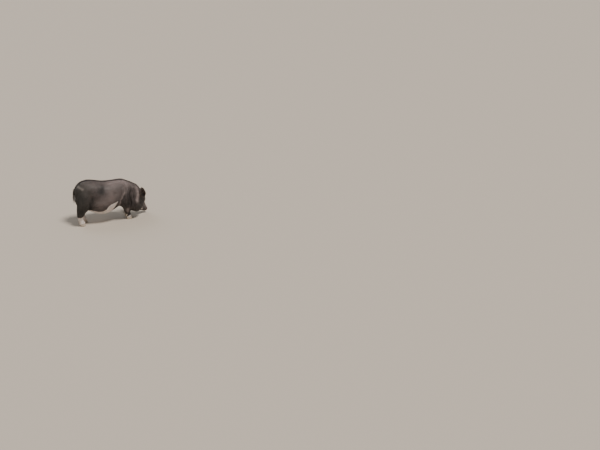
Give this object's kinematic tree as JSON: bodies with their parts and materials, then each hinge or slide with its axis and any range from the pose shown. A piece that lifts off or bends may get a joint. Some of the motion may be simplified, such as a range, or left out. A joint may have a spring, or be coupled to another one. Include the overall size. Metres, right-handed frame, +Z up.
{
  "type": "pot bellied pig",
  "caption": "Young pot-bellied pig at life size, standing with lowered, turned head, low belly, pricked ears, hanging tail and cloven feet.",
  "frame": {"origin": "centre of the footprint of the bounding box, on the floor that the claws stand on", "axes": "+X to the front of the body, +Y to the pig's left, +Z up"},
  "size_m": [0.4658, 0.179, 0.2723],
  "materials": {
    "skin": "charcoal hide with sparse short bristles, white socks and a white belly band",
    "bristle": "dark tail skin and long hair, pale at the tip",
    "horn": "pale, faintly ribbed horn of the claws",
    "eye": "wet, very dark brown eye"
  },
  "bodies": {
    "root": {"torso": "skin", "neck": "skin", "head": "skin", "ear_left": "skin", "ear_right": "skin", "eye_left": "eye", "eye_right": "eye", "tail": "bristle", "hindleg_right": "skin", "claw_hindleg_right_outer": "horn", "dewclaw_hindleg_right_outer": "horn", "claw_hindleg_right_inner": "horn", "dewclaw_hindleg_right_inner": "horn", "hindleg_left": "skin", "claw_hindleg_left_outer": "horn", "dewclaw_hindleg_left_outer": "horn", "claw_hindleg_left_inner": "horn", "dewclaw_hindleg_left_inner": "horn", "foreleg_right": "skin", "claw_foreleg_right_outer": "horn", "dewclaw_foreleg_right_outer": "horn", "claw_foreleg_right_inner": "horn", "dewclaw_foreleg_right_inner": "horn", "foreleg_left": "skin", "claw_foreleg_left_outer": "horn", "dewclaw_foreleg_left_outer": "horn", "claw_foreleg_left_inner": "horn", "dewclaw_foreleg_left_inner": "horn"}
  },
  "joints": []
}
